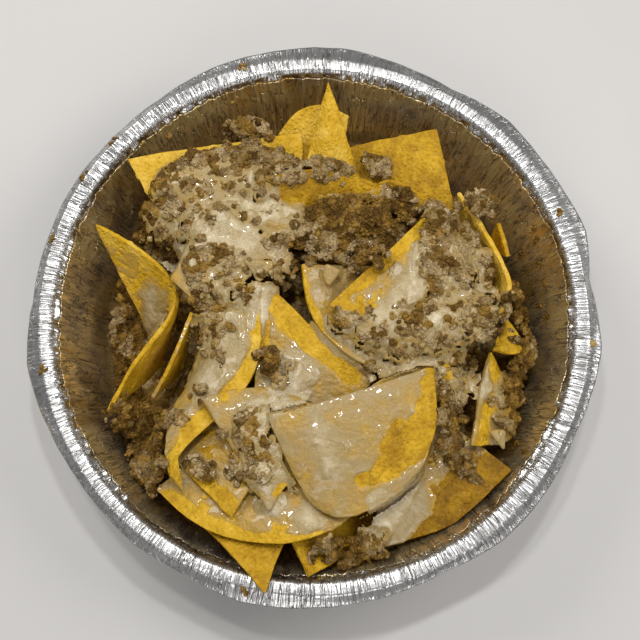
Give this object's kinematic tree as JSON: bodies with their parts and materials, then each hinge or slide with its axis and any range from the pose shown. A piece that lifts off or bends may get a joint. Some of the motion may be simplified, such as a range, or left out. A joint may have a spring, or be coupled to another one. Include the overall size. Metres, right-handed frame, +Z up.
{
  "type": "nachos in a foil pan",
  "caption": "Loaded nachos in a round foil pan: folded quarter-tortilla chips piled with seasoned ground beef under melted white queso.",
  "frame": {"origin": "middle of the pan's flat underside", "axes": "+Z up out of the pan; -Y towards the front, the side from which the pan is seen; +X to the right"},
  "size_m": [0.2302, 0.2302, 0.0584],
  "materials": {
    "foil": "thin bright aluminium foil, crimped rim, creased wall with a film of grease inside",
    "tortilla": null,
    "ground_beef": null,
    "queso": null
  },
  "bodies": {
    "root": {"beef_back_centre": "ground_beef", "beef_back_left": "ground_beef", "beef_back_right": "ground_beef", "beef_bed": "ground_beef", "beef_crescent": "ground_beef", "beef_front_left": "ground_beef", "beef_front_middle": "ground_beef", "beef_left": "ground_beef", "beef_low_right": "ground_beef", "beef_right": "ground_beef", "beef_right_low": "ground_beef", "chip_back_bent": "tortilla", "chip_back_left": "tortilla", "chip_back_right": "tortilla", "chip_back_spike": "tortilla", "chip_bit_back": "tortilla", "chip_bit_left": "tortilla", "chip_bit_middle": "tortilla", "chip_bit_right": "tortilla", "chip_centre_crescent": "tortilla", "chip_centre_long": "tortilla", "chip_centre_right": "tortilla", "chip_front_left": "tortilla", "chip_front_middle": "tortilla", "chip_front_rim": "tortilla", "chip_front_tip": "tortilla", "chip_front_top": "tortilla", "chip_front_wide": "tortilla", "chip_hollow_left": "tortilla", "chip_hollow_right": "tortilla", "chip_left_curl": "tortilla", "chip_left_edge": "tortilla", "chip_left_middle": "tortilla", "chip_left_wide": "tortilla", "chip_lower_right": "tortilla", "chip_right_flap": "tortilla", "chip_right_fold": "tortilla", "chip_right_sliver": "tortilla", "chip_right_standing": "tortilla", "chip_small_behind": "tortilla", "clump_back": "ground_beef", "clump_back_right": "ground_beef", "clump_centre": "ground_beef", "clump_front": "ground_beef", "clump_grey": "ground_beef", "clump_left": "ground_beef", "clump_pair": "ground_beef", "clump_right": "ground_beef", "clump_small_front": "ground_beef", "clump_tip": "ground_beef", "foil_pan": "foil"}
  },
  "joints": []
}
